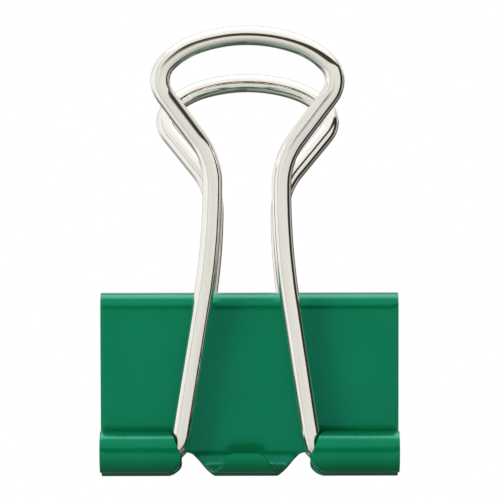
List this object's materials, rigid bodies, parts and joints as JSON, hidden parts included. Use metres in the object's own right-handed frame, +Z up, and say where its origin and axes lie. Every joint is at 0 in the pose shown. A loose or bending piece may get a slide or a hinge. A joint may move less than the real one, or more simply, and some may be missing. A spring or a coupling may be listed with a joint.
{
  "type": "binder clip",
  "caption": "Folded spring-steel binder clip with rolled lips and flip-over wire handles that are squeezed together to open its mouth.",
  "frame": {"origin": "middle of the clip on the plane that its two rolled lips stand on", "axes": "+Z up from the lips through the spine to the raised handles, X along the spine, Y through the clip's thickness with the front wall at -Y"},
  "size_m": [0.025, 0.0222, 0.0363],
  "materials": {
    "green_paint": "glossy green paint",
    "nickel_wire": "polished nickel plate"
  },
  "bodies": {
    "spine": {"spine": "green_paint"},
    "front_jaw": {"front_jaw": "green_paint"},
    "back_jaw": {"back_jaw": "green_paint"},
    "front_handle": {"front_handle": "nickel_wire"},
    "back_handle": {"back_handle": "nickel_wire"}
  },
  "joints": [
    {"name": "front_jaw_open", "type": "hinge", "parent": "spine", "child": "front_jaw", "pos_m": [0, -0.00282, 0.01354], "axis": [-1, 0, 0], "range_deg": [0, 17], "stiffness_Nm_per_rad": 0.5},
    {"name": "back_jaw_open", "type": "hinge", "parent": "spine", "child": "back_jaw", "pos_m": [0, 0.00282, 0.01354], "axis": [1, 0, 0], "range_deg": [0, 17], "stiffness_Nm_per_rad": 0.5},
    {"name": "front_handle_flip", "type": "hinge", "parent": "front_jaw", "child": "front_handle", "pos_m": [0, -0.00175, 0.00174], "axis": [1, 0, 0], "range_deg": [-3, 166]},
    {"name": "back_handle_flip", "type": "hinge", "parent": "back_jaw", "child": "back_handle", "pos_m": [0, 0.00175, 0.00174], "axis": [-1, 0, 0], "range_deg": [-3, 166]}
  ],
  "couplings": [
    {"joint": "back_jaw_open", "follows": "front_jaw_open", "ratio": 1}
  ]
}
